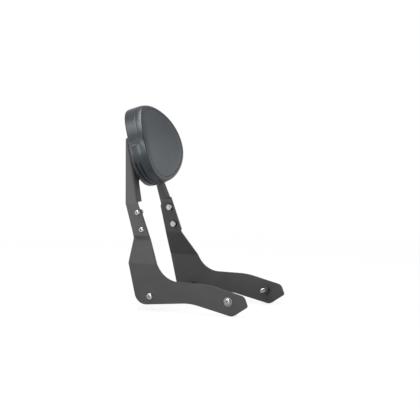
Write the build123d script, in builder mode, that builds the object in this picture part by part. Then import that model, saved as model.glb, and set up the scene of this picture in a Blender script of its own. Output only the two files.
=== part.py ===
# Bolt-on sissy bar: two folded side plates carry a folded yoke, and the yoke carries an oval pad.
# X points to the front of the motorbike, Y to its left and Z up, in millimetres.
# The origin lies on the mid-plane, midway between the rear and front mounting bolts.
import os
from math import atan2, cos, degrees, radians, sin, tan

from build123d import *

os.makedirs("parts", exist_ok=True)

# Mounting bolts through the side plates
mount_spacing = 204.0
mount_bolt_diameter = 10.0
mount_thread_pitch = 1.5
mount_bolt_length = 35.0
mount_head_diameter = 17.5
mount_head_height = 5.5
mount_socket_width = 6.0
mount_socket_depth = 3.2
spacer_diameter = 20.0
spacer_length = 12.0
mount_washer_diameter = 21.0
mount_washer_thickness = 2.0

# Side plates: sheet and folds
plate_thickness = 5.0
plate_half_width = 115.0
plate_bend_radius = 5.0
crease_height = 78.0
tongue_bend_height = 135.0

# Side plates: outline corners, measured from the mounting bolts
heel_reach = 35.0
heel_drop = 22.0
heel_radius = 30.0
belly_offset = 4.0
belly_drop = 10.0
belly_radius = 140.0
toe_reach = 10.0
toe_drop = 35.0
toe_radius = 18.0
nose_reach = 48.0
nose_drop = 10.0
nose_radius = 5.0
brow_reach = 39.0
brow_rise = 14.0
brow_radius = 16.0
arm_crown_offset = 50.0
arm_crown_rise = 36.5
arm_crown_radius = 160.0
throat_reach = 39.0
throat_rise = 38.5
throat_radius = 62.0
back_lean = 12.5
back_blend_radius = 45.0
waist_reach = 3.5
tongue_end_margin = 10.5
tongue_front_radius = 14.0
tongue_rear_radius = 8.0
outline_blend_radius = 25.0

# Yoke: sheet, folds and outline
yoke_thickness = 5.0
yoke_half_width = 92.5
yoke_bend_radius = 3.0
yoke_fold_gap = 10.5
yoke_rise = 155.0
yoke_front_offset = 146.3
web_lean = 16.4
cheek_lean = 14.6
cheek_fold_width = 32.0
cheek_top_width = 6.8
yoke_top_radius = 8.0
leg_front_lean = 20.0
leg_rear_lean = 15.5
leg_end_clearance = 5.5
leg_front_radius = 8.0
leg_rear_radius = 2.5
flange_width = 24.0
flange_end_gap = 4.5
web_depth = 100.6
arch_radius = 18.0

# Bolts that join the yoke to the tongues
joint_inset = 26.0
joint_first_rise = 20.5
joint_pitch = 41.0
joint_bolt_diameter = 8.0
joint_thread_pitch = 1.25
joint_bolt_length = 20.0
joint_head_diameter = 14.0
joint_head_height = 4.4
joint_socket_width = 5.0
joint_socket_depth = 2.6
joint_washer_diameter = 15.0
joint_washer_thickness = 1.6
joint_nut_width = 13.0
joint_nut_height = 6.5
joint_nut_chamfer_angle = 30.0

# Pad cushion
pad_centre_drop = 27.0
pad_half_width = 102.0
pad_upper_height = 113.5
pad_lower_height = 83.5
pad_widest_offset = 15.0
pad_front_depth = 64.5
pad_thickness = 44.0
pad_curve_radius = 255.0
pad_front_round = 5.0
pad_rear_round = 5.0

# Base pan under the cushion
pan_inset = 26.0
pan_wall = 4.0
boss_diameter = 17.0

# Screws that hold the pan on the yoke
screw_upper_rise = 10.0
screw_lower_rise = -40.0
screw_inset = 22.0
screw_diameter = 6.0
screw_thread_pitch = 1.0
screw_length = 16.0
screw_head_diameter = 10.5
screw_head_height = 3.3
screw_socket_width = 4.0
screw_socket_depth = 2.0
screw_washer_diameter = 12.0
screw_washer_thickness = 1.6
insert_diameter = 9.0
insert_length = 9.0
insert_run_out = 1.5

# Fits
hole_clearance = 0.25
thread_clearance = 0.1
insert_clearance = 0.05

# Button heads: rim and flat top as shares of head height and diameter, dome radius and bolt tip of diameter
head_rim_share = 0.12
head_flat_share = 0.54
head_dome_share = 0.35
bolt_tip_share = 0.1

# Metric thread: the pitch diameter is the nominal one less this share of the pitch
pitch_line_share = 0.6495

# Derived places
rear_mount_x = -mount_spacing / 2
front_mount_x = mount_spacing / 2
plate_inner_face = plate_half_width - plate_thickness
joint_lower_height = tongue_bend_height + joint_first_rise
joint_upper_height = joint_lower_height + joint_pitch
tongue_top_height = joint_upper_height + tongue_end_margin
yoke_fold_height = tongue_top_height + yoke_fold_gap
yoke_top_height = yoke_fold_height + yoke_rise
tongue_half_width = yoke_half_width - yoke_thickness
tongue_inner_face = tongue_half_width - plate_thickness
plate_fold = degrees(atan2(plate_half_width - tongue_half_width, tongue_bend_height - crease_height))
leg_end_height = tongue_bend_height + leg_end_clearance
web_tangent = tan(radians(web_lean))
fold_front_x = -yoke_front_offset
fold_rear_x = fold_front_x - cheek_fold_width
web_normal = Vector(cos(radians(web_lean)), 0, sin(radians(web_lean)))
web_up = Vector(-sin(radians(web_lean)), 0, cos(radians(web_lean)))
web_foot = Vector(fold_front_x, 0, yoke_fold_height)
web_plane = Plane(origin=web_foot, x_dir=(0, 1, 0), z_dir=web_normal)
web_length = yoke_rise / cos(radians(web_lean))
arch_height = web_length - web_depth
pad_rise = web_length - pad_centre_drop
web_taper = tan(radians(cheek_lean)) * cos(radians(web_lean))
cheek_normal = Vector(0, -cos(radians(cheek_lean)), sin(radians(cheek_lean)))
fold_direction = cheek_normal.cross(web_normal).normalized()
web_inward = fold_direction.cross(web_normal)
cheek_backward = cheek_normal.cross(fold_direction)
pad_plane = Plane(origin=web_foot + web_up * pad_rise, x_dir=(0, 1, 0), z_dir=web_normal)
pad_side_plane = Plane(origin=pad_plane.origin, x_dir=web_normal, z_dir=(0, -1, 0))
pad_curve_centre = pad_front_depth - pad_curve_radius
pan_front_radius = pad_curve_radius - pad_thickness


def leg_front(height):
    """X of the front edge of leg and tongue at a height below the fold."""
    return fold_front_x + (yoke_fold_height - height) * tan(radians(leg_front_lean))


def leg_rear(height):
    """X of the rear edge of leg and tongue at a height below the fold."""
    return fold_rear_x + (yoke_fold_height - height) * tan(radians(leg_rear_lean))


def web_half(rise):
    """Half width of the web, to the outer faces of the cheeks, this far up from the fold."""
    return yoke_half_width - rise * web_taper


def fold_corner(depth, radius):
    """Solid between a sharp corner of the right fold, this deep in the sheet, and its rounded form."""
    half_angle = web_inward.get_angle(cheek_backward) / 2
    bisector = (web_inward + cheek_backward).normalized()
    foot = web_foot + web_up * flange_end_gap - Vector(0, web_half(flange_end_gap), 0)
    corner_point = foot + bisector * (depth / sin(radians(half_angle)))
    plane = Plane(origin=corner_point, x_dir=web_inward, z_dir=fold_direction)
    tangent = radius / tan(radians(half_angle))
    centre = plane.to_local_coords(corner_point + bisector * (radius / sin(radians(half_angle))))
    far_side = plane.to_local_coords(corner_point + cheek_backward * tangent)
    with BuildPart() as corner_solid:
        with BuildSketch(plane):
            with BuildLine():
                Polyline((0, 0), (tangent, 0), (centre.X, centre.Y), (far_side.X, far_side.Y), close=True)
            make_face()
            with Locations((centre.X, centre.Y)):
                Circle(radius, mode=Mode.SUBTRACT)
        extrude(amount=web_length)
    return corner_solid.part


def outward(x, y, z):
    """Plane on the right side of the bar whose normal points away from the motorbike."""
    return Plane(origin=(x, y, z), x_dir=(1, 0, 0), z_dir=(0, -1, 0))


def behind_web(offset, rise, depth):
    """Plane behind the web, at a place on the pad plane, whose normal points backwards."""
    place = pad_plane.origin + web_up * rise + Vector(0, offset, 0) - web_normal * depth
    return Plane(origin=place, x_dir=(0, -1, 0), z_dir=web_normal * -1)


def thread_diameter(diameter, pitch):
    """Pitch diameter of a metric thread, which stands for the thread on bolts, nuts and inserts."""
    return diameter - pitch_line_share * pitch


def button_bolt(diameter, pitch, grip, length, head_diameter, head_height, socket_width, socket_depth):
    """Button-head bolt along Z, seated at the origin, with a plain shank through its grip."""
    with BuildPart() as bolt:
        with BuildSketch(Plane.XZ):
            with BuildLine():
                rim = (head_diameter / 2, head_height * head_rim_share)
                flat = (head_diameter * head_flat_share / 2, head_height)
                Polyline((0, head_height), (0, 0), (head_diameter / 2, 0), rim)
                RadiusArc(rim, flat, -head_diameter * head_dome_share)
                Line(flat, (0, head_height))
            make_face()
        revolve(axis=Axis.Z)
        with BuildSketch(Plane.XY):
            Circle(thread_diameter(diameter, pitch) / 2)
        extrude(amount=-length)
        with BuildSketch(Plane.XY):
            Circle(diameter / 2)
        extrude(amount=-grip)
        chamfer(bolt.faces().sort_by(Axis.Z)[0].edges(), length=diameter * bolt_tip_share)
        with BuildSketch(Plane.XY.offset(head_height)):
            RegularPolygon(socket_width / 2, 6, major_radius=False)
        extrude(amount=-socket_depth, mode=Mode.SUBTRACT)
    return bolt.part


def flat_ring(outer_diameter, bore_diameter, thickness):
    """Washer, spacer or bush along Z, standing on the origin."""
    with BuildPart() as ring:
        Cylinder(outer_diameter / 2, thickness, align=(Align.CENTER, Align.CENTER, Align.MIN))
        Cylinder(
            bore_diameter / 2,
            thickness,
            align=(Align.CENTER, Align.CENTER, Align.MIN),
            mode=Mode.SUBTRACT,
        )
    return ring.part


def oval(inset):
    """Egg-shaped pad outline of two half ellipses, drawn this far inside the edge of the pad."""
    middle = (0, -pad_widest_offset)
    width = pad_half_width - inset
    with BuildSketch() as outline:
        with BuildLine():
            EllipticalCenterArc(middle, width, pad_upper_height - inset, start_angle=0, arc_size=180)
            EllipticalCenterArc(middle, width, pad_lower_height - inset, start_angle=180, arc_size=180)
        make_face()
    return outline.sketch


rear_mount_grip = plate_thickness + spacer_length
front_mount_grip = rear_mount_grip + mount_washer_thickness
mount_head = (mount_head_diameter, mount_head_height, mount_socket_width, mount_socket_depth)
joint_head = (joint_head_diameter, joint_head_height, joint_socket_width, joint_socket_depth)
screw_head = (screw_head_diameter, screw_head_height, screw_socket_width, screw_socket_depth)
screw_grip = yoke_thickness + screw_washer_thickness
mount_thread = (mount_bolt_diameter, mount_thread_pitch)
joint_thread = (joint_bolt_diameter, joint_thread_pitch)
screw_thread = (screw_diameter, screw_thread_pitch)
joint_grip = yoke_thickness + plate_thickness
rear_mount_bolt = button_bolt(*mount_thread, rear_mount_grip, mount_bolt_length, *mount_head)
front_mount_bolt = button_bolt(*mount_thread, front_mount_grip, mount_bolt_length, *mount_head)
joint_bolt = button_bolt(*joint_thread, joint_grip, joint_bolt_length, *joint_head)
pad_screw = button_bolt(*screw_thread, screw_grip, screw_length, *screw_head)
mount_bore = mount_bolt_diameter + 2 * hole_clearance
joint_bore = joint_bolt_diameter + 2 * hole_clearance
screw_bore = screw_diameter + 2 * hole_clearance
mount_spacer = flat_ring(spacer_diameter, mount_bore, spacer_length)
mount_washer = flat_ring(mount_washer_diameter, mount_bore, mount_washer_thickness)
joint_washer = flat_ring(joint_washer_diameter, joint_bore, joint_washer_thickness)
screw_washer = flat_ring(screw_washer_diameter, screw_bore, screw_washer_thickness)
insert_bore = thread_diameter(*screw_thread) + 2 * thread_clearance
pad_insert = flat_ring(insert_diameter, insert_bore, insert_length)

joint_places = [(leg_rear(z) + joint_inset, z) for z in (joint_upper_height, joint_lower_height)]
screw_places = [(web_half(pad_rise + z) - screw_inset, z) for z in (screw_upper_rise, screw_lower_rise)]

with BuildPart() as hex_nut:
    with BuildSketch(Plane.XY):
        RegularPolygon(joint_nut_width / 2, 6, major_radius=False)
        Circle(thread_diameter(*joint_thread) / 2 + thread_clearance, mode=Mode.SUBTRACT)
    extrude(amount=joint_nut_height)
    with BuildSketch(Plane.XZ):
        with BuildLine():
            corner = joint_nut_width / 2 / cos(radians(30))
            slope = (corner - joint_nut_width / 2) * tan(radians(joint_nut_chamfer_angle))
            Polyline(
                (0, 0),
                (joint_nut_width / 2, 0),
                (corner, slope),
                (corner, joint_nut_height - slope),
                (joint_nut_width / 2, joint_nut_height),
                (0, joint_nut_height),
                close=True,
            )
        make_face()
    revolve(axis=Axis.Z, mode=Mode.INTERSECT)

# Side plate: the folded section is drawn across the bar and cut to the outline seen from the side
with BuildPart() as side_plate_right:
    with BuildSketch(Plane.YZ):
        low = -toe_drop - plate_bend_radius
        high = tongue_top_height + plate_bend_radius
        miter = plate_thickness * tan(radians(plate_fold / 2))
        with BuildLine():
            Polyline(
                (-plate_half_width, low),
                (-plate_half_width, crease_height),
                (-tongue_half_width, tongue_bend_height),
                (-tongue_half_width, high),
                (-tongue_inner_face, high),
                (-tongue_inner_face, tongue_bend_height - miter),
                (-plate_inner_face, crease_height - miter),
                (-plate_inner_face, low),
                close=True,
            )
        section = make_face()
        outside = [(-plate_half_width, crease_height), (-tongue_inner_face, tongue_bend_height - miter)]
        inside = [(-plate_inner_face, crease_height - miter), (-tongue_half_width, tongue_bend_height)]
        outer_corners = [section.vertices().sort_by_distance((y, z, 0))[0] for y, z in outside]
        inner_corners = [section.vertices().sort_by_distance((y, z, 0))[0] for y, z in inside]
        fillet(outer_corners, plate_bend_radius + plate_thickness)
        fillet(inner_corners, plate_bend_radius)
    extrude(amount=2 * mount_spacing, both=True)
    with BuildSketch(Plane.XZ):
        heel = (rear_mount_x - heel_reach, -heel_drop)
        crease_rear = (heel[0] - (crease_height + heel_drop) * tan(radians(back_lean)), crease_height)
        with BuildLine():
            FilletPolyline(
                heel,
                (belly_offset, -belly_drop),
                (front_mount_x + toe_reach, -toe_drop),
                (front_mount_x + nose_reach, -nose_drop),
                (front_mount_x + brow_reach, brow_rise),
                (arm_crown_offset, arm_crown_rise),
                (rear_mount_x + throat_reach, throat_rise),
                (leg_front(tongue_bend_height), tongue_bend_height),
                (leg_front(tongue_top_height), tongue_top_height),
                (leg_rear(tongue_top_height), tongue_top_height),
                (leg_rear(tongue_bend_height) - waist_reach, tongue_bend_height),
                crease_rear,
                radius=[
                    heel_radius,
                    belly_radius,
                    toe_radius,
                    nose_radius,
                    brow_radius,
                    arm_crown_radius,
                    throat_radius,
                    outline_blend_radius,
                    tongue_front_radius,
                    tongue_rear_radius,
                    outline_blend_radius,
                    back_blend_radius,
                ],
                close=True,
            )
        make_face()
    extrude(amount=2 * plate_half_width, both=True, mode=Mode.INTERSECT)
    with BuildSketch(Plane.XZ):
        with Locations((rear_mount_x, 0), (front_mount_x, 0)):
            Circle(mount_bore / 2)
        with Locations(*joint_places):
            Circle(joint_bore / 2)
    extrude(amount=2 * plate_half_width, both=True, mode=Mode.SUBTRACT)
side_plate_right.part.label = "side_plate_right"
export_step(side_plate_right.part, "parts/side_plate_right.step")

with BuildPart() as side_plate_left:
    mirror(side_plate_right.part, about=Plane.XZ)
side_plate_left.part.label = "side_plate_left"
export_step(side_plate_left.part, "parts/side_plate_left.step")

inner_round = fold_corner(yoke_thickness, yoke_bend_radius)
outer_round = fold_corner(0, yoke_bend_radius + yoke_thickness)

# Yoke: cheeks and legs from a folded section, then the web that is folded round their front edges
with BuildPart() as backrest_yoke:
    with BuildSketch(Plane.YZ):
        over = yoke_top_height + yoke_thickness
        over_half = yoke_half_width - (over - yoke_fold_height) * tan(radians(cheek_lean))
        across = yoke_thickness / cos(radians(cheek_lean))
        drop = yoke_thickness * tan(radians(cheek_lean / 2))
        with BuildLine():
            Polyline(
                (-yoke_half_width, leg_end_height),
                (-yoke_half_width, yoke_fold_height),
                (-over_half, over),
                (-over_half + across, over),
                (-tongue_half_width, yoke_fold_height - drop),
                (-tongue_half_width, leg_end_height),
                close=True,
            )
        strip = make_face()
        outer_fold = strip.vertices().sort_by_distance((-yoke_half_width, yoke_fold_height, 0))[0]
        inner_fold = strip.vertices().sort_by_distance((-tongue_half_width, yoke_fold_height - drop, 0))[0]
        fillet(outer_fold, yoke_bend_radius + yoke_thickness)
        fillet(inner_fold, yoke_bend_radius)
        mirror(about=Plane.YZ)
    extrude(amount=2 * yoke_front_offset, both=True)
    with BuildSketch(Plane.XZ):
        top_front_x = fold_front_x - (yoke_top_height - yoke_fold_height) * web_tangent
        with BuildLine():
            Polyline(
                (top_front_x, yoke_top_height),
                (fold_front_x, yoke_fold_height),
                (leg_front(leg_end_height), leg_end_height),
                (leg_rear(leg_end_height), leg_end_height),
                (fold_rear_x, yoke_fold_height),
                (top_front_x - cheek_top_width, yoke_top_height),
                close=True,
            )
        side_view = make_face()
        foot_corners = side_view.vertices().group_by(Axis.Y)[0].sort_by(Axis.X)
        fillet(foot_corners[0], leg_rear_radius)
        fillet(foot_corners[-1], leg_front_radius)
    extrude(amount=2 * yoke_half_width, both=True, mode=Mode.INTERSECT)
    with BuildSketch(web_plane):
        with BuildLine():
            Polyline(
                (-web_half(flange_end_gap), flange_end_gap),
                (flange_width - web_half(flange_end_gap), flange_end_gap),
                (flange_width - web_half(arch_height), arch_height),
                (web_half(arch_height) - flange_width, arch_height),
                (web_half(flange_end_gap) - flange_width, flange_end_gap),
                (web_half(flange_end_gap), flange_end_gap),
                (web_half(web_length), web_length),
                (-web_half(web_length), web_length),
                close=True,
            )
        front_view = make_face()
        arch_half = web_half(arch_height) - flange_width
        arch_places = [(-arch_half, arch_height, 0), (arch_half, arch_height, 0)]
        arch_corners = [front_view.vertices().sort_by_distance(place)[0] for place in arch_places]
        fillet(arch_corners, arch_radius)
    extrude(amount=-yoke_thickness)
    add(inner_round)
    mirror(inner_round, about=Plane.XZ)
    add(outer_round, mode=Mode.SUBTRACT)
    mirror(outer_round, about=Plane.XZ, mode=Mode.SUBTRACT)
    with BuildSketch(Plane.YZ):
        top_half = yoke_half_width - (yoke_top_height - yoke_fold_height) * tan(radians(cheek_lean))
        with BuildLine():
            Polyline(
                (-yoke_half_width, leg_end_height),
                (-yoke_half_width, yoke_fold_height),
                (-top_half, yoke_top_height),
                (top_half, yoke_top_height),
                (yoke_half_width, yoke_fold_height),
                (yoke_half_width, leg_end_height),
                close=True,
            )
        envelope = make_face()
        fillet(envelope.vertices().group_by(Axis.Y)[-1], yoke_top_radius)
    extrude(amount=2 * yoke_front_offset, both=True, mode=Mode.INTERSECT)
    with BuildSketch(Plane.XZ):
        with Locations(*joint_places):
            Circle(joint_bore / 2)
    extrude(amount=2 * yoke_half_width, both=True, mode=Mode.SUBTRACT)
    with BuildSketch(pad_plane):
        with Locations(*screw_places, *[(-y, rise) for y, rise in screw_places]):
            Circle(screw_bore / 2)
    extrude(amount=-2 * yoke_thickness, mode=Mode.SUBTRACT)
backrest_yoke.part.label = "backrest_yoke"
export_step(backrest_yoke.part, "parts/backrest_yoke.step")

# Cushion: the oval outline, cut to a band that is curved about a horizontal axis behind the pad
with BuildPart() as pad_cushion:
    with BuildSketch(pad_plane):
        add(oval(0))
    extrude(amount=pad_front_depth + pad_thickness, both=True)
    with BuildSketch(pad_side_plane):
        with Locations((pad_curve_centre, 0)):
            Circle(pad_curve_radius)
            Circle(pan_front_radius, mode=Mode.SUBTRACT)
    extrude(amount=2 * pad_half_width, both=True, mode=Mode.INTERSECT)
    rear_face = pad_cushion.faces().filter_by(GeomType.CYLINDER).sort_by(Axis.X)[0]
    fillet(rear_face.edges(), pad_rear_round)
    front_face = pad_cushion.faces().filter_by(GeomType.CYLINDER).sort_by(Axis.X)[-1]
    fillet(front_face.edges(), pad_front_round)
pad_cushion.part.label = "pad_cushion"
export_step(pad_cushion.part, "parts/pad_cushion.step")

# Base pan: a curved shell under the cushion with four bosses that stand on the web
with BuildPart() as pad_base_pan:
    with BuildSketch(pad_plane):
        add(oval(pan_inset))
    extrude(amount=pad_front_depth, both=True)
    with BuildSketch(pad_side_plane):
        with Locations((pad_curve_centre, 0)):
            Circle(pan_front_radius)
            Circle(pan_front_radius - pan_wall, mode=Mode.SUBTRACT)
    extrude(amount=2 * pad_half_width, both=True, mode=Mode.INTERSECT)
    with BuildSketch(pad_plane):
        with Locations(*screw_places, *[(-y, rise) for y, rise in screw_places]):
            Circle(boss_diameter / 2)
    extrude(amount=pad_front_depth)
    with BuildSketch(pad_side_plane):
        with Locations((pad_curve_centre, 0)):
            Circle(pan_front_radius)
    extrude(amount=2 * pad_half_width, both=True, mode=Mode.INTERSECT)
    with BuildSketch(pad_plane):
        with Locations(*screw_places, *[(-y, rise) for y, rise in screw_places]):
            Circle(insert_diameter / 2 + insert_clearance)
    extrude(amount=insert_length + insert_run_out, mode=Mode.SUBTRACT)
pad_base_pan.part.label = "pad_base_pan"
export_step(pad_base_pan.part, "parts/pad_base_pan.step")

# Bolts, washers and nuts that join yoke and tongues
with BuildPart() as upright_bolts_right:
    with Locations(*[outward(x, -yoke_half_width, z) for x, z in joint_places]):
        add(joint_bolt)
upright_bolts_right.part.label = "upright_bolts_right"
export_step(upright_bolts_right.part, "parts/upright_bolts_right.step")

with BuildPart() as upright_bolts_left:
    mirror(upright_bolts_right.part, about=Plane.XZ)
upright_bolts_left.part.label = "upright_bolts_left"
export_step(upright_bolts_left.part, "parts/upright_bolts_left.step")

with BuildPart() as upright_washers_right:
    with Locations(*[outward(x, joint_washer_thickness - tongue_inner_face, z) for x, z in joint_places]):
        add(joint_washer)
upright_washers_right.part.label = "upright_washers_right"
export_step(upright_washers_right.part, "parts/upright_washers_right.step")

with BuildPart() as upright_washers_left:
    mirror(upright_washers_right.part, about=Plane.XZ)
upright_washers_left.part.label = "upright_washers_left"
export_step(upright_washers_left.part, "parts/upright_washers_left.step")

nut_inner_face = tongue_inner_face - joint_washer_thickness - joint_nut_height
with BuildPart() as upright_nuts_right:
    with Locations(*[outward(x, -nut_inner_face, z) for x, z in joint_places]):
        add(hex_nut.part)
upright_nuts_right.part.label = "upright_nuts_right"
export_step(upright_nuts_right.part, "parts/upright_nuts_right.step")

with BuildPart() as upright_nuts_left:
    mirror(upright_nuts_right.part, about=Plane.XZ)
upright_nuts_left.part.label = "upright_nuts_left"
export_step(upright_nuts_left.part, "parts/upright_nuts_left.step")

# Mounting bolts with their spacers and washers
with BuildPart() as rear_mount_bolt_right:
    with Locations(outward(rear_mount_x, -plate_half_width, 0)):
        add(rear_mount_bolt)
rear_mount_bolt_right.part.label = "rear_mount_bolt_right"
export_step(rear_mount_bolt_right.part, "parts/rear_mount_bolt_right.step")

with BuildPart() as rear_mount_bolt_left:
    mirror(rear_mount_bolt_right.part, about=Plane.XZ)
rear_mount_bolt_left.part.label = "rear_mount_bolt_left"
export_step(rear_mount_bolt_left.part, "parts/rear_mount_bolt_left.step")

with BuildPart() as front_mount_bolt_right:
    with Locations(outward(front_mount_x, -plate_half_width - mount_washer_thickness, 0)):
        add(front_mount_bolt)
front_mount_bolt_right.part.label = "front_mount_bolt_right"
export_step(front_mount_bolt_right.part, "parts/front_mount_bolt_right.step")

with BuildPart() as front_mount_bolt_left:
    mirror(front_mount_bolt_right.part, about=Plane.XZ)
front_mount_bolt_left.part.label = "front_mount_bolt_left"
export_step(front_mount_bolt_left.part, "parts/front_mount_bolt_left.step")

with BuildPart() as front_mount_washer_right:
    with Locations(outward(front_mount_x, -plate_half_width, 0)):
        add(mount_washer)
front_mount_washer_right.part.label = "front_mount_washer_right"
export_step(front_mount_washer_right.part, "parts/front_mount_washer_right.step")

with BuildPart() as front_mount_washer_left:
    mirror(front_mount_washer_right.part, about=Plane.XZ)
front_mount_washer_left.part.label = "front_mount_washer_left"
export_step(front_mount_washer_left.part, "parts/front_mount_washer_left.step")

with BuildPart() as rear_spacer_right:
    with Locations(outward(rear_mount_x, spacer_length - plate_inner_face, 0)):
        add(mount_spacer)
rear_spacer_right.part.label = "rear_spacer_right"
export_step(rear_spacer_right.part, "parts/rear_spacer_right.step")

with BuildPart() as rear_spacer_left:
    mirror(rear_spacer_right.part, about=Plane.XZ)
rear_spacer_left.part.label = "rear_spacer_left"
export_step(rear_spacer_left.part, "parts/rear_spacer_left.step")

with BuildPart() as front_spacer_right:
    with Locations(outward(front_mount_x, spacer_length - plate_inner_face, 0)):
        add(mount_spacer)
front_spacer_right.part.label = "front_spacer_right"
export_step(front_spacer_right.part, "parts/front_spacer_right.step")

with BuildPart() as front_spacer_left:
    mirror(front_spacer_right.part, about=Plane.XZ)
front_spacer_left.part.label = "front_spacer_left"
export_step(front_spacer_left.part, "parts/front_spacer_left.step")

# Screws, washers and threaded inserts that hold the pan on the web
with BuildPart() as pad_screws_right:
    with Locations(*[behind_web(-y, rise, screw_grip) for y, rise in screw_places]):
        add(pad_screw)
pad_screws_right.part.label = "pad_screws_right"
export_step(pad_screws_right.part, "parts/pad_screws_right.step")

with BuildPart() as pad_screws_left:
    mirror(pad_screws_right.part, about=Plane.XZ)
pad_screws_left.part.label = "pad_screws_left"
export_step(pad_screws_left.part, "parts/pad_screws_left.step")

with BuildPart() as pad_screw_washers_right:
    with Locations(*[behind_web(-y, rise, yoke_thickness) for y, rise in screw_places]):
        add(screw_washer)
pad_screw_washers_right.part.label = "pad_screw_washers_right"
export_step(pad_screw_washers_right.part, "parts/pad_screw_washers_right.step")

with BuildPart() as pad_screw_washers_left:
    mirror(pad_screw_washers_right.part, about=Plane.XZ)
pad_screw_washers_left.part.label = "pad_screw_washers_left"
export_step(pad_screw_washers_left.part, "parts/pad_screw_washers_left.step")

with BuildPart() as pad_inserts_right:
    with Locations(*[behind_web(-y, rise, -insert_length) for y, rise in screw_places]):
        add(pad_insert)
pad_inserts_right.part.label = "pad_inserts_right"
export_step(pad_inserts_right.part, "parts/pad_inserts_right.step")

with BuildPart() as pad_inserts_left:
    mirror(pad_inserts_right.part, about=Plane.XZ)
pad_inserts_left.part.label = "pad_inserts_left"
export_step(pad_inserts_left.part, "parts/pad_inserts_left.step")
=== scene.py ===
# Looks of the sissy bar: powder-coated sheet, bright bolts and a sewn vinyl pad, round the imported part
from math import cos, pi, radians, sin, tau

import bpy
import numpy as np
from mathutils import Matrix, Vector


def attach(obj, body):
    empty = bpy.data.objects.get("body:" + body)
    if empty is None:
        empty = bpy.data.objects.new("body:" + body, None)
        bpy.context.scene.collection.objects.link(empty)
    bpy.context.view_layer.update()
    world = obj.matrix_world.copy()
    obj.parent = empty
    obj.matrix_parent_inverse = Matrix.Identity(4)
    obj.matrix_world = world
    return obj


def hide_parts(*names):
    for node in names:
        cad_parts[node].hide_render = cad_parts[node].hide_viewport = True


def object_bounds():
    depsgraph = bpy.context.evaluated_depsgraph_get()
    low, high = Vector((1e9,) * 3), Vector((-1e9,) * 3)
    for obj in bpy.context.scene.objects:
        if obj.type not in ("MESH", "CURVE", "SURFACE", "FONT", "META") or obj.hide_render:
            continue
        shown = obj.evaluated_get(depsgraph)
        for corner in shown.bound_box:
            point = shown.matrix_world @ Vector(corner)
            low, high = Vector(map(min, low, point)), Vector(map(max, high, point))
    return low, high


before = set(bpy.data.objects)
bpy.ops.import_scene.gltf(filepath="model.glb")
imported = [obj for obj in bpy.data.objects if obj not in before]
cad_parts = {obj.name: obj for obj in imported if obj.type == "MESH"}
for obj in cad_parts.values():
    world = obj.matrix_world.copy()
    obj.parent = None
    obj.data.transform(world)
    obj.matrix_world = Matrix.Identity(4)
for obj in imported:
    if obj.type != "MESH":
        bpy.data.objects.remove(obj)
cad_low, cad_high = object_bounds()

MM = 0.001
WHITE = (1.0, 1.0, 1.0)

# Photograph's camera: aimed at a point of the mid-plane, from the right and a little from the front
VIEW_TARGET = Vector((0.00195, 0.0, 0.2008))
VIEW_AZIMUTH = radians(25.0)
VIEW_ELEVATION = radians(4.777)
VIEW_DISTANCE = 3.3642
VIEW_LENS = 120.0
VIEW_SENSOR = 36.0
VIEW_CLIP = (0.05, 100.0)

# Pad, in millimetres, as in the part's source
WEB_LEAN = radians(16.4)
WEB_FOOT = np.array([-146.3, 0.0, 217.5])
YOKE_RISE = 155.0
PAD_CENTRE_DROP = 27.0
PAD_RISE = YOKE_RISE / cos(WEB_LEAN) - PAD_CENTRE_DROP
PAD_HALF_WIDTH = 102.0
PAD_UPPER_HEIGHT = 113.5
PAD_LOWER_HEIGHT = 83.5
PAD_WIDEST_OFFSET = 15.0
PAD_FRONT_DEPTH = 64.5
PAD_THICKNESS = 44.0
PAD_CURVE_RADIUS = 255.0
PAD_REAR_ROUND = 5.0

# Faces and rings of the pad's cover from front to back, in millimetres; insets are from the outline
FACE_CELLS = 48
FACE_RIM_INSET = 26.0
STITCH_INSET = 13.0
FACE_INSETS = (FACE_RIM_INSET, 21.0, 17.0, 14.6, STITCH_INSET, 11.4, 9.0)
EDGE_ROUND = 4.0
EDGE_TILT = radians(27.0)
EDGE_RINGS = 6
STRIP_SLANT = 3.0
STRIP_SHARES = (0.2, 0.4, 0.6, 0.8, 1.0)
WALL_SEAM_DEPTH = 14.0
WALL_SEAM_HALF_WIDTH = 2.2
WALL_RINGS = 20
REAR_TURNS = np.radians((22, 45, 68, 90))
GATHER_INSET = 15.0
REAR_INSETS = (10.0, GATHER_INSET, 20.0, FACE_RIM_INSET)

# Numbers of the rings that are held or sewn, and of the points inside the two faces
STITCH_RING = FACE_INSETS.index(STITCH_INSET)
STRIP_START_RING = len(FACE_INSETS) + EDGE_RINGS - 1
SEAM_RING = STRIP_START_RING + len(STRIP_SHARES)
WALL_END_RING = SEAM_RING + 1 + WALL_RINGS
GATHER_RING = WALL_END_RING + len(REAR_TURNS) + 1 + REAR_INSETS.index(GATHER_INSET)
INSIDE_FRONT = -1
INSIDE_REAR = -2
RIM_SHARE = 0.9999

# Cloth that swells the cover: the face starts sunk, and the caps limit the moves, in millimetres
CLOTH_FRAMES = 20
CLOTH_QUALITY = 6
CLOTH_PRESSURE = 4.0
FACE_START_SINK = 2.5
FACE_SMOOTHING = 16
FACE_SWELL_CAP = 4.0
WALL_SWELL_CAP = 0.6
LEAST_LENGTH = 1e-9

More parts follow.
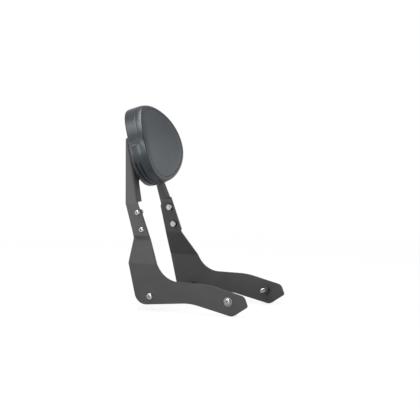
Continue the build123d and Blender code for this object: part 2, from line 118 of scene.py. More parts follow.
# Sewing of the cover, in millimetres. A turn is in degrees round the outline and is the same on both sides:
# 90 is the top, 180 the widest place and 270 the bottom. A span is a low end, a high end and their softness.
STITCH_GROOVE = 0.15
LOW_STITCH_GROOVE = 0.35
LOW_STITCH_TURNS = (205, 275, 30)
SEAM_GROOVE = 0.5
HIGH_SEAM_GROOVE = 0.9
HIGH_SEAM_TURNS = (128, 170, 16)
UNDERCUT = 2.4
UNDERCUT_DEPTHS = (5, 19, 7)
UNDERCUT_TURNS = (175, 262, 12)
BEAD = 1.0
BEAD_TURNS = (168, 240, 16)
TUCK = 2.4
TUCK_TURNS = (234, 275, 26)
GATHER = 0.35
GATHER_COUNT = 58
CROSS_FOLDS = (
    {"place": 170.0, "width": 1.5, "depths": (17, 42, 6), "height": -1.8},
    {"place": 174.0, "width": 2.0, "depths": (20, 42, 6), "height": 1.2},
)
PLEATS = (
    {"depth": 30.3, "start": 203.0, "slope": 0.13, "width": 1.9, "turns": (201, 260, 10), "height": 1.4},
    {"depth": 25.0, "start": 205.0, "slope": 0.1, "width": 1.8, "turns": (201, 260, 10), "height": -4.5},
    {"depth": 35.5, "start": 202.0, "slope": 0.16, "width": 1.8, "turns": (198, 262, 10), "height": -4.5},
)

# Stitches of the face: radius in millimetres, and sizes that are shares of it or of a stitch's length
STITCH_RADIUS = 0.42
STITCH_SIDES = 6
STITCH_STATIONS = (0.0, 0.12, 0.5, 0.88, 1.0)
STITCH_GAP = 0.12
STITCH_ARCH = 0.9
STITCH_SINK = 0.1
STITCH_END = 0.35

# Threads of the mounting bolts, in millimetres
THREAD_PITCH = 1.5
THREAD_FOOT_RADIUS = 4.45
THREAD_CREST_RADIUS = 5.0
THREAD_FOOT_HALF_WIDTH = 0.62
THREAD_CREST_HALF_WIDTH = 0.1
THREAD_STEPS = 24
THREAD_START = 1.0
SPACER_FACE = 98.0
TIP_TOLERANCE = 0.01

# Floor and sky; a reach is a distance from the origin, in metres
FLOOR_HALF_SIZE = 30.0
FLOOR_GAP = 0.0005
FLOOR_GREY = (0.42, 0.42, 0.42)
FLOOR_WHITE_REACH = (0.6, 2.0)
FLOOR_WHITE_SHARE = 0.8
FLOOR_MIRROR_REACH = (0.35, 1.6)
FLOOR_MIRROR_SHARE = 0.9
SKY_HORIZON = (0.82, 0.85, 0.88)
SKY_TOP = (0.32, 0.32, 0.33)
SKY_HEIGHTS = (0.0, 0.55)
SKY_STRENGTH = 1.08
FLAG_DIRECTION = (0.9, -0.43, 0.0)
FLAG_EDGE = (0.64, 0.88)
FLAG_STRENGTH = 0.2

# Materials: scales in cells per metre, lengths in metres, and low and high ends of what varies
NOISE_RANGE = (0.3, 0.7)
COAT_CLOUD_SCALE = 24.0
COAT_TONES = (0.91, 1.09)
COAT_ROUGHNESS = (0.46, 0.54)
COAT_PEEL_SCALE = 950.0
COAT_PEEL_DEPTH = 0.00012
COAT_PEEL_STRENGTH = 0.55
COAT_EDGE_RADIUS = 0.0008
VINYL_CLOUD_SCALE = 14.0
VINYL_TONES = ((0.024, 0.027, 0.030), (0.030, 0.034, 0.038))
VINYL_TONE_RANGE = (0.1, 0.9)
VINYL_ROUGHNESS = (0.27, 0.34)
VINYL_TINT = (0.88, 0.96, 1.0, 1.0)
# Painted shade in the vinyl's creases: reach in metres, openness range, and the specular level from deep
# creases to open surfaces
VINYL_CREASE_REACH = 0.006
VINYL_CREASE_RANGE = (0.5, 0.95)
VINYL_SHINE_AND_SHADE = (0.05, 0.75)
VINYL_PEBBLE_SCALE = 620.0
VINYL_PEBBLE_SMOOTHNESS = 0.35
VINYL_PEBBLE_DEPTH = 0.00025
VINYL_PEBBLE_STRENGTH = 0.5
METAL_CLOUD_SHARE = 0.2
METAL_DARK_SHARE = 0.88
# Painted shade in the metal's recesses: its darkest colour, the reach in metres over which recesses are
# judged, and the openness range it spans
METAL_PAINTED_SHADE = (0.04, 0.04, 0.04)
METAL_PAINTED_SHADE_REACH = 0.004
METAL_PAINTED_SHADE_RANGE = (0.3, 0.85)
METAL_GRAIN_STRENGTH = 0.4
PAN_CLOUD_SCALE = 30.0
PAN_TONES = ((0.018, 0.018, 0.019), (0.026, 0.026, 0.027))
PAN_ROUGHNESS = (0.55, 0.65)
PAN_SPARK_SCALE = 1300.0
PAN_SPARK_DEPTH = 0.0002
PAN_SPARK_STRENGTH = 0.6


def new_material(name):
    """New material, its node tree and a principled shader joined to its output."""
    material = bpy.data.materials.new(name)
    material.use_nodes = True
    tree = material.node_tree
    tree.nodes.clear()
    output = tree.nodes.new("ShaderNodeOutputMaterial")
    shader = tree.nodes.new("ShaderNodeBsdfPrincipled")
    tree.links.new(shader.outputs["BSDF"], output.inputs["Surface"])
    return material, tree, shader


def noise(tree, scale, detail=3.0):
    """Noise in the part's own coordinates."""
    place = tree.nodes.new("ShaderNodeTexCoord")
    texture = tree.nodes.new("ShaderNodeTexNoise")
    texture.inputs["Scale"].default_value = scale
    texture.inputs["Detail"].default_value = detail
    tree.links.new(place.outputs["Object"], texture.inputs["Vector"])
    return texture.outputs["Fac"]


def pebbles(tree, scale, smoothness):
    """Smooth cells in the part's own coordinates."""
    place = tree.nodes.new("ShaderNodeTexCoord")
    texture = tree.nodes.new("ShaderNodeTexVoronoi")
    texture.feature = "SMOOTH_F1"
    texture.inputs["Scale"].default_value = scale
    texture.inputs["Smoothness"].default_value = smoothness
    tree.links.new(place.outputs["Object"], texture.inputs["Vector"])
    return texture.outputs["Distance"]


def openness(tree, reach):
    """1 on open surfaces and less in recesses, judged within a reach."""
    node = tree.nodes.new("ShaderNodeAmbientOcclusion")
    node.inputs["Distance"].default_value = reach
    return node.outputs["AO"]


def ramp(tree, factor, low, high, limits=NOISE_RANGE):
    """Linear colour that goes from low to high while a factor goes from one limit to the other."""
    node = tree.nodes.new("ShaderNodeValToRGB")
    first, last = node.color_ramp.elements
    first.position, last.position = limits
    first.color = (*low, 1.0)
    last.color = (*high, 1.0)
    tree.links.new(factor, node.inputs["Fac"])
    return node.outputs["Color"]


def map_range(tree, factor, source, target, smooth=False):
    """Number that goes through the target range while a factor goes through the source range."""
    node = tree.nodes.new("ShaderNodeMapRange")
    node.interpolation_type = "SMOOTHSTEP" if smooth else "LINEAR"
    node.inputs["From Min"].default_value, node.inputs["From Max"].default_value = source
    node.inputs["To Min"].default_value, node.inputs["To Max"].default_value = target
    tree.links.new(factor, node.inputs["Value"])
    return node.outputs["Result"]


def calculate(tree, operation, *sources):
    """Result of a math node on its source sockets."""
    node = tree.nodes.new("ShaderNodeMath")
    node.operation = operation
    for source, entry in zip(sources, node.inputs):
        tree.links.new(source, entry)
    return node.outputs["Value"]


def mix_shaders(tree, factor, first, second):
    """The first shader where a factor is 0 and the second where it is 1."""
    node = tree.nodes.new("ShaderNodeMixShader")
    tree.links.new(factor, node.inputs["Fac"])
    tree.links.new(first, node.inputs[1])
    tree.links.new(second, node.inputs[2])
    return node.outputs["Shader"]


def surface(tree, shader, cloud, tone, roughness):
    """Gives a shader its colour, and a roughness that follows a cloud of noise."""
    tree.links.new(tone, shader.inputs["Base Color"])
    tree.links.new(map_range(tree, cloud, NOISE_RANGE, roughness), shader.inputs["Roughness"])


def bump(tree, shader, height, depth, strength, edge=0.0):
    """Bump on a shader from a height socket, over edges that look rounded by a radius."""
    node = tree.nodes.new("ShaderNodeBump")
    node.inputs["Strength"].default_value = strength
    node.inputs["Distance"].default_value = depth
    tree.links.new(height, node.inputs["Height"])
    tree.links.new(node.outputs["Normal"], shader.inputs["Normal"])
    if edge:
        bevel = tree.nodes.new("ShaderNodeBevel")
        bevel.inputs["Radius"].default_value = edge
        tree.links.new(bevel.outputs["Normal"], node.inputs["Normal"])


def powder_coat(name, shade):
    """Satin black powder coat with a fine orange peel; shade is its mean linear grey."""
    material, tree, shader = new_material(name)
    cloud = noise(tree, COAT_CLOUD_SCALE)
    dark, light = [(share * shade,) * 3 for share in COAT_TONES]
    surface(tree, shader, cloud, ramp(tree, cloud, dark, light), COAT_ROUGHNESS)
    peel = noise(tree, COAT_PEEL_SCALE, detail=1.0)
    bump(tree, shader, peel, COAT_PEEL_DEPTH, COAT_PEEL_STRENGTH, COAT_EDGE_RADIUS)
    return material


def vinyl():
    """Black upholstery vinyl with a pebbled grain and a shiny top coat, its reflections dimmed in creases as
    painted shade.
    """
    material, tree, shader = new_material("vinyl")
    shader.inputs["Specular Tint"].default_value = VINYL_TINT
    # Painted shade: the specular level falls in creases and pleats, so that they read dark where shade falls
    crease = openness(tree, VINYL_CREASE_REACH)
    shine_and_shade = map_range(tree, crease, VINYL_CREASE_RANGE, VINYL_SHINE_AND_SHADE)
    tree.links.new(shine_and_shade, shader.inputs["Specular IOR Level"])
    cloud = noise(tree, VINYL_CLOUD_SCALE, detail=1.0)
    surface(tree, shader, cloud, ramp(tree, cloud, *VINYL_TONES, VINYL_TONE_RANGE), VINYL_ROUGHNESS)
    pebble = pebbles(tree, VINYL_PEBBLE_SCALE, VINYL_PEBBLE_SMOOTHNESS)
    bump(tree, shader, pebble, VINYL_PEBBLE_DEPTH, VINYL_PEBBLE_STRENGTH)
    return material


def metal(name, colour, roughness, grain_scale, grain_depth):
    """Bare or plated metal with fine grain, and painted shade that darkens its recesses."""
    material, tree, shader = new_material(name)
    shader.inputs["Metallic"].default_value = 1.0
    cloud = noise(tree, grain_scale * METAL_CLOUD_SHARE)
    tone = ramp(tree, cloud, tuple(METAL_DARK_SHARE * c for c in colour), colour)
    # Painted shade: the colour is darkened in recesses, such as the hex sockets of the bolts, where shade
    # falls
    painted_shade = ramp(tree, openness(tree, METAL_PAINTED_SHADE_REACH), METAL_PAINTED_SHADE, WHITE, METAL_PAINTED_SHADE_RANGE)
    shaded_tone = tree.nodes.new("ShaderNodeVectorMath")
    shaded_tone.operation = "MULTIPLY"
    tree.links.new(tone, shaded_tone.inputs[0])
    tree.links.new(painted_shade, shaded_tone.inputs[1])
    surface(tree, shader, cloud, shaded_tone.outputs["Vector"], roughness)
    bump(tree, shader, noise(tree, grain_scale, detail=2.0), grain_depth, METAL_GRAIN_STRENGTH)
    return material


def pan_plastic():
    """Black moulded plastic with a spark-eroded texture."""
    material, tree, shader = new_material("pan_plastic")
    cloud = noise(tree, PAN_CLOUD_SCALE)
    surface(tree, shader, cloud, ramp(tree, cloud, *PAN_TONES), PAN_ROUGHNESS)
    spark = noise(tree, PAN_SPARK_SCALE, detail=2.0)
    bump(tree, shader, spark, PAN_SPARK_DEPTH, PAN_SPARK_STRENGTH)
    return material


def paint(material, names):
    """Gives CAD nodes a material."""
    for name in names:
        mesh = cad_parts[name].data
        mesh.materials.clear()
        mesh.materials.append(material)


def both_sides(*names):
    """Right and left node names."""
    return [f"{name}_{side}" for name in names for side in ("right", "left")]


def new_piece(name, points, faces):
    """New object in the scene, from points in metres and faces."""
    mesh = bpy.data.meshes.new(name)
    mesh.from_pydata(np.asarray(points).tolist(), [], faces)
    mesh.update()
    piece = bpy.data.objects.new(name, mesh)
    bpy.context.scene.collection.objects.link(piece)
    return piece


def shade_smooth(piece):
    """Smooth shading on all faces of a piece."""
    piece.data.polygons.foreach_set("use_smooth", [True] * len(piece.data.polygons))


def move_points(piece, places):
    """Puts the points of a piece at new places, in metres."""
    piece.data.vertices.foreach_set("co", places.astype(np.float32).ravel())
    piece.data.update()


def outline(angle):
    """Pad outline at an angle: place and outward direction, across the bar and up the web."""
    height = np.where(np.sin(angle) > 0, PAD_UPPER_HEIGHT, PAD_LOWER_HEIGHT)
    place = np.stack([PAD_HALF_WIDTH * np.cos(angle), height * np.sin(angle) - PAD_WIDEST_OFFSET], -1)
    direction = np.stack([np.cos(angle) / PAD_HALF_WIDTH, np.sin(angle) / height], -1)
    return place, direction / np.linalg.norm(direction, axis=-1, keepdims=True)


def front_depth(rise):
    """Depth of the curved front of the pad, from the web plane."""
    return PAD_FRONT_DEPTH - PAD_CURVE_RADIUS + np.sqrt(PAD_CURVE_RADIUS ** 2 - rise ** 2)


def rear_depth(rise):
    """Depth of the curved back of the pad, from the web plane."""
    radius = PAD_CURVE_RADIUS - PAD_THICKNESS
    return PAD_FRONT_DEPTH - PAD_CURVE_RADIUS + np.sqrt(radius ** 2 - rise ** 2)


def pad_to_frame(across, rise, depth):
    """Points of the pad in the part's frame, in metres."""
    up = np.array([-sin(WEB_LEAN), 0.0, cos(WEB_LEAN)])
    out = np.array([cos(WEB_LEAN), 0.0, sin(WEB_LEAN)])
    side = np.array([0.0, 1.0, 0.0])
    points = WEB_FOOT + PAD_RISE * up + np.outer(across, side) + np.outer(rise, up) + np.outer(depth, out)
    return points * MM


def cover_rings():
    """Rings of the cover from front to back: inset from the outline, step and kind. The step is a depth
    behind the front, a share of the wall or a height over the back."""
    rings = [(inset, 0.0, "front") for inset in FACE_INSETS]
    edge_centre = STRIP_SLANT + EDGE_ROUND * cos(EDGE_TILT)
    for tilt in np.linspace(radians(90.0), EDGE_TILT, EDGE_RINGS):
        rings.append((edge_centre - EDGE_ROUND * cos(tilt), EDGE_ROUND * (1 - sin(tilt)), "front"))
    strip_start = EDGE_ROUND * (1 - sin(EDGE_TILT))
    for share in STRIP_SHARES:
        depth = strip_start + share * (WALL_SEAM_DEPTH - strip_start)
        rings.append((STRIP_SLANT * (1 - share) ** 2, depth, "front"))
    rings.append((0.0, WALL_SEAM_DEPTH + WALL_SEAM_HALF_WIDTH, "front"))
    for share in np.linspace(1 / WALL_RINGS, 1.0, WALL_RINGS):
        rings.append((0.0, share, "wall"))
    for turn in REAR_TURNS:
        rings.append((PAD_REAR_ROUND * (1 - cos(turn)), PAD_REAR_ROUND * (1 - sin(turn)), "rear"))
    rings += [(inset, 0.0, "rear") for inset in REAR_INSETS]
    return rings


def ring_points(angle, inset, step, kind):
    """Pad coordinates of one ring of the cover."""
    place, direction = outline(angle)
    place = place - inset * direction
    front = front_depth(place[:, 1])
    rear = rear_depth(place[:, 1])
    if kind == "front":
        depth = front - step
    elif kind == "rear":
        depth = rear + step
    else:
        start = front - WALL_SEAM_DEPTH - WALL_SEAM_HALF_WIDTH
        depth = start + (rear + PAD_REAR_ROUND - start) * step
    return np.column_stack([place, depth])


def disc_places():
    """Square grid bent into a disc: angle and share of the radius of each point."""
    line = np.linspace(-1.0, 1.0, FACE_CELLS + 1)
    x, y = np.meshgrid(line, line, indexing="ij")
    across = x * np.sqrt(1 - y * y / 2)
    rise = y * np.sqrt(1 - x * x / 2)
    return np.arctan2(rise, across).ravel(), np.hypot(across, rise).ravel()


def disc_numbers():
    """Numbers of the disc's points as a square grid, and in order round its edge."""
    last = FACE_CELLS
    grid = np.arange((last + 1) ** 2).reshape(last + 1, last + 1)
    edge = np.concatenate([grid[:last, 0], grid[last, :last], grid[last:0:-1, last], grid[0, last:0:-1]])
    return grid, edge


def face_points(angle, share, kind):
    """Pad coordinates of one face of the cover; the front is sunk toward its middle."""
    centre = np.array([0.0, -PAD_WIDEST_OFFSET])
    rim = ring_points(angle, FACE_RIM_INSET, 0.0, kind)[:, :2]
    flat = centre + share[:, None] * (rim - centre)
    if kind == "front":
        depth = front_depth(flat[:, 1]) - FACE_START_SINK * (1 - share ** 2)
    else:
        depth = rear_depth(flat[:, 1])
    return np.column_stack([flat, depth])


def cover_points():
    """Points of the cover, both faces and then the rings between: pad coordinates, ring number and angle."""
    angle, share = disc_places()
    _, edge = disc_numbers()
    rings = cover_rings()
    last = len(rings) - 1
    on_rim = share > RIM_SHARE
    points = [face_points(angle, share, "front"), face_points(angle, share, "rear")]
    ring_number = [np.where(on_rim, 0, INSIDE_FRONT), np.where(on_rim, last, INSIDE_REAR)]
    point_angle = [angle, angle]
    for number in range(1, last):
        points.append(ring_points(angle[edge], *rings[number]))
        ring_number.append(np.full(edge.size, number))
        point_angle.append(angle[edge])
    return np.concatenate(points), np.concatenate(ring_number), np.concatenate(point_angle)


def cover_faces():
    """Faces of the cover: the cells of both discs, and the bands from ring to ring."""
    grid, edge = disc_numbers()
    rows = [edge]
    for number in range(len(cover_rings()) - 2):
        rows.append(np.arange(edge.size) + 2 * grid.size + number * edge.size)
    rows.append(edge + grid.size)
    faces = []
    for i in range(FACE_CELLS):
        for j in range(FACE_CELLS):
            cell = (grid[i, j], grid[i + 1, j], grid[i + 1, j + 1], grid[i, j + 1])
            faces.append(cell)
            faces.append(tuple(grid.size + c for c in reversed(cell)))
    for near, far in zip(rows, rows[1:]):
        for i in range(edge.size):
            k = (i + 1) % edge.size
            faces.append((near[k], near[i], far[i], far[k]))
    return [tuple(int(c) for c in face) for face in faces]


def cloth_moves(cover, before):
    """Moves of the cover's points under cloth pressure, in metres; its group named held stays in place."""
    cloth = cover.modifiers.new("swell", "CLOTH")
    cloth.settings.vertex_group_mass = "held"
    cloth.settings.use_pressure = True
    cloth.settings.uniform_pressure_force = CLOTH_PRESSURE
    cloth.settings.effector_weights.gravity = 0.0
    cloth.settings.quality = CLOTH_QUALITY
    cloth.collision_settings.use_collision = False
    cloth.point_cache.frame_end = CLOTH_FRAMES
    scene = bpy.context.scene
    for step in range(1, CLOTH_FRAMES + 1):
        scene.frame_set(step)
    shown = cover.evaluated_get(bpy.context.evaluated_depsgraph_get())
    after = np.array([v.co for v in shown.data.vertices])
    cover.modifiers.remove(cloth)
    scene.frame_set(1)
    return after - before


def smooth_face(move):
    """Evens out the moves inside the front face, in place."""
    side = FACE_CELLS + 1
    face = move[:side * side].reshape(side, side, 3)
    for _ in range(FACE_SMOOTHING):
        face[1:-1, 1:-1] = (face[2:, 1:-1] + face[:-2, 1:-1] + face[1:-1, 2:] + face[1:-1, :-2]) / 4


def swell(cover, ring_number):
    """Blows the cover up between its seams with cloth pressure, with the moves evened out and capped."""
    sewn = (ring_number == STITCH_RING) | (ring_number == SEAM_RING)
    at_back = (ring_number > WALL_END_RING) | (ring_number == INSIDE_REAR)
    group = cover.vertex_groups.new(name="held")
    group.add(np.flatnonzero(sewn | at_back).tolist(), 1.0, "REPLACE")
    before = np.array([v.co for v in cover.data.vertices])
    move = cloth_moves(cover, before)
    smooth_face(move)
    length = np.linalg.norm(move, axis=1, keepdims=True)
    cap = np.where(ring_number < len(FACE_INSETS), FACE_SWELL_CAP, WALL_SWELL_CAP)[:, None] * MM
    move *= np.tanh(length / cap) * cap / np.maximum(length, LEAST_LENGTH)
    move_points(cover, before + move)


def bell(distance, width):
    """Smooth bell, 1 at no distance."""
    return np.exp(-(distance / width) ** 2)


def window(value, low, high, soft):
    """1 between low and high, with soft ends."""
    rise = np.clip((value - low) / soft + 0.5, 0, 1)
    fall = np.clip((high - value) / soft + 0.5, 0, 1)
    return rise * rise * (3 - 2 * rise) * fall * fall * (3 - 2 * fall)


def cross_fold(turn, behind, place, width, depths, height):
    """Groove or lip across the wall at one turn."""
    return height * bell(turn - place, width) * window(behind, *depths)


def pleat(turn, behind, depth, start, slope, width, turns, height):
    """Groove or ridge along the wall, at a depth behind the front that lessens with the turn."""
    line = depth - (turn - start) * slope
    return height * bell(behind - line, width) * window(turn, *turns)


def toward_back(ring_number):
    """Nearness of the cover's points to the rear edge of the pad, from 0 to 1."""
    shares = []
    for inset, step, kind in cover_rings():
        if kind == "wall":
            shares.append(step ** 2)
        elif kind == "rear":
            shares.append(max(0.0, 1 - inset / PAD_REAR_ROUND))
        else:
            shares.append(0.0)
    return np.where(ring_number >= 0, np.array(shares)[ring_number], 0.0)


def sew(cover, pad_points, ring_number, point_angle):
    """Seams, folds, pleats, rear bead, tuck and gathers, as moves along the cover's normals."""
    turn = np.degrees(point_angle) % 360
    turn = np.where(np.cos(point_angle) > 0, (180 - turn) % 360, turn)
    behind = front_depth(pad_points[:, 1]) - pad_points[:, 2]
    on_side = (ring_number >= STRIP_START_RING) & (ring_number <= WALL_END_RING)
    on_wall = (ring_number >= SEAM_RING) & (ring_number <= WALL_END_RING)
    stitch_groove = STITCH_GROOVE + LOW_STITCH_GROOVE * window(turn, *LOW_STITCH_TURNS)
    seam_groove = SEAM_GROOVE + HIGH_SEAM_GROOVE * window(turn, *HIGH_SEAM_TURNS)
    undercut = UNDERCUT * window(behind, *UNDERCUT_DEPTHS) * window(turn, *UNDERCUT_TURNS)
    move = np.zeros(len(ring_number))
    move -= (ring_number == STITCH_RING) * stitch_groove
    move -= (ring_number == SEAM_RING) * seam_groove
    move -= on_side * undercut
    move += (ring_number == WALL_END_RING) * BEAD * window(turn, *BEAD_TURNS)
    move -= TUCK * toward_back(ring_number) * window(turn, *TUCK_TURNS)
    for fold in CROSS_FOLDS:
        move += on_wall * cross_fold(turn, behind, **fold)
    for line in PLEATS:
        move += on_wall * pleat(turn, behind, **line)
    move += (ring_number >= GATHER_RING) * GATHER * np.sin(GATHER_COUNT * point_angle)
    normal = np.array([v.normal for v in cover.data.vertices])
    place = np.array([v.co for v in cover.data.vertices])
    move_points(cover, place + normal * move[:, None] * MM)


def subdivide(piece):
    """One smooth subdivision of a piece."""
    subdivision = piece.modifiers.new("smooth", "SUBSURF")
    subdivision.levels = 1
    subdivision.render_levels = 1


def stitch_points(start, end, up):
    """Rings of points along one arched stitch between two needle holes, in metres."""
    radius = STITCH_RADIUS * MM
    along = end - start
    across = np.cross(along / np.linalg.norm(along), up)
    points = []
    for station in STITCH_STATIONS:
        middle = start + along * (STITCH_GAP + (1 - 2 * STITCH_GAP) * station)
        middle = middle + up * radius * (STITCH_ARCH * sin(pi * station) - STITCH_SINK)
        size = radius * (STITCH_END if station in (0.0, 1.0) else 1.0)
        for k in range(STITCH_SIDES):
            turn = tau * k / STITCH_SIDES
            points.append(middle + size * (cos(turn) * across + sin(turn) * up))
    return points


def stitch_faces(base):
    """Faces of one stitch whose points start at a number: its sides and two ends."""
    sides = STITCH_SIDES
    last = base + (len(STITCH_STATIONS) - 1) * sides
    faces = []
    for row in range(base, last, sides):
        for k in range(sides):
            a = row + k
            b = row + (k + 1) % sides
            faces.append((a, b, b + sides, a + sides))
    faces.append(tuple(base + k for k in reversed(range(sides))))
    faces.append(tuple(last + k for k in range(sides)))
    return faces


def make_stitches(cover, ring_number, point_angle):
    """Thread that shows between the needle holes of the ring on the face."""
    shown = cover.evaluated_get(bpy.context.evaluated_depsgraph_get())
    place = np.array([v.co for v in shown.data.vertices[:len(ring_number)]])
    normal = np.array([v.normal for v in shown.data.vertices[:len(ring_number)]])
    ring = sorted(np.flatnonzero(ring_number == STITCH_RING), key=lambda i: point_angle[i])
    points = []
    faces = []
    for i, first in enumerate(ring):
        second = ring[(i + 1) % len(ring)]
        up = normal[first] + normal[second]
        up /= np.linalg.norm(up)
        faces += stitch_faces(len(points))
        points += stitch_points(place[first], place[second], up)
    stitches = new_piece("pad_stitches", points, faces)
    shade_smooth(stitches)
    return stitches


def bolt_tip(name):
    """Middle of a mounting bolt's tip, from the points nearest to the mid-plane, in millimetres."""
    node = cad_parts[name]
    points = np.array([node.matrix_world @ v.co for v in node.data.vertices]) / MM
    reach = np.abs(points[:, 1])
    tip = points[reach < reach.min() + TIP_TOLERANCE]
    return (tip.min(axis=0) + tip.max(axis=0)) / 2


def thread_ridge(tip):
    """Rows of points along a right-handed helical ridge, from a bolt's tip to its spacer, in millimetres."""
    side = np.sign(tip[1])
    length = SPACER_FACE - THREAD_START - abs(tip[1]) - 2 * THREAD_FOOT_HALF_WIDTH
    turns = length / THREAD_PITCH
    angle = np.linspace(0.0, tau * turns, int(THREAD_STEPS * turns) + 1)
    full = np.clip(np.minimum(angle, angle[-1] - angle) / pi, 0.0, 1.0)
    crest = THREAD_FOOT_RADIUS + (THREAD_CREST_RADIUS - THREAD_FOOT_RADIUS) * full
    foot = np.full(angle.size, THREAD_FOOT_RADIUS)
    along = THREAD_START + THREAD_FOOT_HALF_WIDTH + angle / tau * THREAD_PITCH
    rows = []
    for offset, radius in (
        (-THREAD_FOOT_HALF_WIDTH, foot),
        (-THREAD_CREST_HALF_WIDTH, crest),
        (THREAD_CREST_HALF_WIDTH, crest),
        (THREAD_FOOT_HALF_WIDTH, foot),
    ):
        place = side * (along + offset)
        rows.append(tip + np.column_stack([side * radius * np.sin(angle), place, radius * np.cos(angle)]))
    return rows


def make_threads(names):
    """Thread ridges on the free ends of the mounting bolts, as one piece."""
    points = []
    faces = []
    for name in names:
        rows = thread_ridge(bolt_tip(name))
        count = len(rows[0])
        start = len(points)
        points += [tuple(p) for row in rows for p in row * MM]
        for row in range(len(rows) - 1):
            for i in range(count - 1):
                a = start + row * count + i
                faces.append((a, a + 1, a + count + 1, a + count))
    return new_piece("mount_threads", points, faces)


def floor_material():
    """White to the camera, and to mirrors far from the part; pale grey to all other light."""
    material, tree, shader = new_material("floor")
    shader.inputs["Roughness"].default_value = 1.0
    shader.inputs["Specular IOR Level"].default_value = 0.0
    path = tree.nodes.new("ShaderNodeLightPath")
    seen = path.outputs["Is Camera Ray"]
    tree.links.new(ramp(tree, seen, FLOOR_GREY, WHITE, (0.0, 1.0)), shader.inputs["Base Color"])
    geometry = tree.nodes.new("ShaderNodeNewGeometry")
    distance = tree.nodes.new("ShaderNodeVectorMath")
    distance.operation = "LENGTH"
    tree.links.new(geometry.outputs["Position"], distance.inputs[0])
    reach = distance.outputs["Value"]
    far = map_range(tree, reach, FLOOR_MIRROR_REACH, (0.0, FLOOR_MIRROR_SHARE), smooth=True)
    clear = map_range(tree, reach, FLOOR_WHITE_REACH, (FLOOR_WHITE_SHARE, 1.0), smooth=True)
    mirrored = calculate(tree, "MULTIPLY", path.outputs["Is Glossy Ray"], far)
    share = calculate(tree, "MULTIPLY_ADD", seen, clear, mirrored)
    white = tree.nodes.new("ShaderNodeEmission")
    white.inputs["Strength"].default_value = 1.0
    mixed = mix_shaders(tree, share, shader.outputs["BSDF"], white.outputs["Emission"])
    tree.links.new(mixed, tree.nodes["Material Output"].inputs["Surface"])
    return material


def make_floor():
    """Plain floor just under the part."""
    size = FLOOR_HALF_SIZE
    corners = [(-size, -size, 0.0), (size, -size, 0.0), (size, size, 0.0), (-size, size, 0.0)]
    floor = new_piece("floor", corners, [(0, 1, 2, 3)])
    floor.location = (0.0, 0.0, cad_low.z - FLOOR_GAP)
    floor.data.materials.append(floor_material())


def make_world():
    """White to the camera; as light, a sky bright at the horizon, with a dark flag at the front right."""
    world = bpy.data.worlds.new("studio")
    bpy.context.scene.world = world
    world.use_nodes = True
    tree = world.node_tree
    tree.nodes.clear()
    output = tree.nodes.new("ShaderNodeOutputWorld")
    place = tree.nodes.new("ShaderNodeTexCoord")
    parts = tree.nodes.new("ShaderNodeSeparateXYZ")
    tree.links.new(place.outputs["Generated"], parts.inputs["Vector"])
    sky = ramp(tree, parts.outputs["Z"], SKY_HORIZON, SKY_TOP, SKY_HEIGHTS)
    toward_flag = tree.nodes.new("ShaderNodeVectorMath")
    toward_flag.operation = "DOT_PRODUCT"
    toward_flag.inputs[1].default_value = FLAG_DIRECTION
    tree.links.new(place.outputs["Generated"], toward_flag.inputs[0])
    strength = (SKY_STRENGTH, FLAG_STRENGTH)
    strength = map_range(tree, toward_flag.outputs["Value"], FLAG_EDGE, strength, smooth=True)
    light = tree.nodes.new("ShaderNodeBackground")
    tree.links.new(strength, light.inputs["Strength"])
    tree.links.new(sky, light.inputs["Color"])
    white = tree.nodes.new("ShaderNodeBackground")
    white.inputs["Color"].default_value = (*WHITE, 1.0)
    white.inputs["Strength"].default_value = 1.0
    seen = tree.nodes.new("ShaderNodeLightPath").outputs["Is Camera Ray"]
    mixed = mix_shaders(tree, seen, light.outputs["Background"], white.outputs["Background"])
    tree.links.new(mixed, output.inputs["Surface"])


def make_lamp(name, place, target, size, power):
    """Soft box of light that looks at a point; size is its two sides."""
    lamp = bpy.data.lights.new(name, "AREA")
    lamp.shape = "RECTANGLE"
    lamp.size, lamp.size_y = size
    lamp.energy = power
    holder = bpy.data.objects.new(name, lamp)
    holder.location = place
    holder.rotation_mode = "QUATERNION"
    holder.rotation_quaternion = (Vector(target) - Vector(place)).to_track_quat("-Z", "Y")
    bpy.context.scene.collection.objects.link(holder)


def make_camera():
    """Camera at the photograph's place."""
    data = bpy.data.cameras.new("camera")
    data.lens = VIEW_LENS
    data.sensor_width = VIEW_SENSOR
    data.clip_start, data.clip_end = VIEW_CLIP
    camera = bpy.data.objects.new("camera", data)
    back = Vector((
        sin(VIEW_AZIMUTH) * cos(VIEW_ELEVATION),
        -cos(VIEW_AZIMUTH) * cos(VIEW_ELEVATION),
        sin(VIEW_ELEVATION),
    ))
    camera.location = VIEW_TARGET + back * VIEW_DISTANCE
    camera.rotation_mode = "QUATERNION"
    camera.rotation_quaternion = (-back).to_track_quat("-Z", "Y")
    bpy.context.scene.collection.objects.link(camera)
    bpy.context.scene.camera = camera


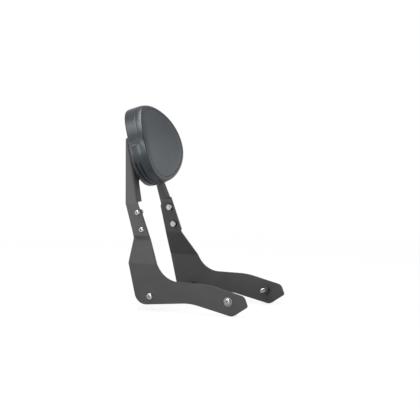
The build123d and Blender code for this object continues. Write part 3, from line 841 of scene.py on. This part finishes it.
# Studio
bpy.context.scene.view_settings.view_transform = "Standard"
make_camera()
make_world()
make_floor()
make_lamp("low_side_lamp", place=(0.1, -2.4, 0.75), target=(-0.1, 0.0, 0.2), size=(2.6, 1.4), power=29.0)
make_lamp("sky_lamp", place=(-0.2, -0.05, 2.3), target=(-0.2, 0.0, 0.4), size=(1.1, 2.6), power=42.0)
make_lamp("rear_lamp", place=(-1.3, -0.8, 1.8), target=(-0.2, 0.0, 0.4), size=(1.0, 1.0), power=8.5)
make_lamp("front_lamp", place=(1.2, 1.9, 0.4), target=(-0.15, 0.0, 0.25), size=(1.2, 1.2), power=0.8)

# Materials of the CAD nodes
# The plates and the yoke share one black paint; the yoke's coat is made lighter and the plates' darker as
# painted light and shade, for the light that falls on each
plate_coat_shaded = powder_coat("powder_coat_plates", shade=0.052)
yoke_coat_lit = powder_coat("powder_coat_yoke", shade=0.08)
spacer_coat = powder_coat("spacer_black", shade=0.06)
bolt_steel = metal("bolt_steel", (0.68, 0.68, 0.67), (0.13, 0.20), grain_scale=900.0, grain_depth=0.00004)
plated_steel = metal("plated_steel", (0.60, 0.60, 0.59), (0.20, 0.30), grain_scale=700.0, grain_depth=0.00005)
black_zinc = metal("black_zinc", (0.07, 0.07, 0.075), (0.38, 0.50), grain_scale=700.0, grain_depth=0.00005)
brass = metal("insert_brass", (0.72, 0.54, 0.28), (0.26, 0.36), grain_scale=700.0, grain_depth=0.00005)
paint(plate_coat_shaded, both_sides("side_plate"))
paint(yoke_coat_lit, ["backrest_yoke"])
paint(spacer_coat, both_sides("rear_spacer", "front_spacer"))
paint(bolt_steel, both_sides("upright_bolts", "rear_mount_bolt", "front_mount_bolt", "pad_screws"))
paint(plated_steel, both_sides("upright_nuts", "front_mount_washer", "pad_screw_washers"))
paint(black_zinc, both_sides("upright_washers"))
paint(brass, both_sides("pad_inserts"))
paint(pan_plastic(), ["pad_base_pan"])

# Cover of the pad and its stitches
pad_points, ring_number, point_angle = cover_points()
cover = new_piece("pad_cover", pad_to_frame(*pad_points.T), cover_faces())
swell(cover, ring_number)
sew(cover, pad_points, ring_number, point_angle)
shade_smooth(cover)
subdivide(cover)
cover_vinyl = vinyl()
cover.data.materials.append(cover_vinyl)
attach(cover, "root")
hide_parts("pad_cushion")
stitches = make_stitches(cover, ring_number, point_angle)
stitches.data.materials.append(cover_vinyl)
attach(stitches, "root")

# Threads of the mounting bolts
threads = make_threads(both_sides("rear_mount_bolt", "front_mount_bolt"))
threads.data.materials.append(bolt_steel)
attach(threads, "root")
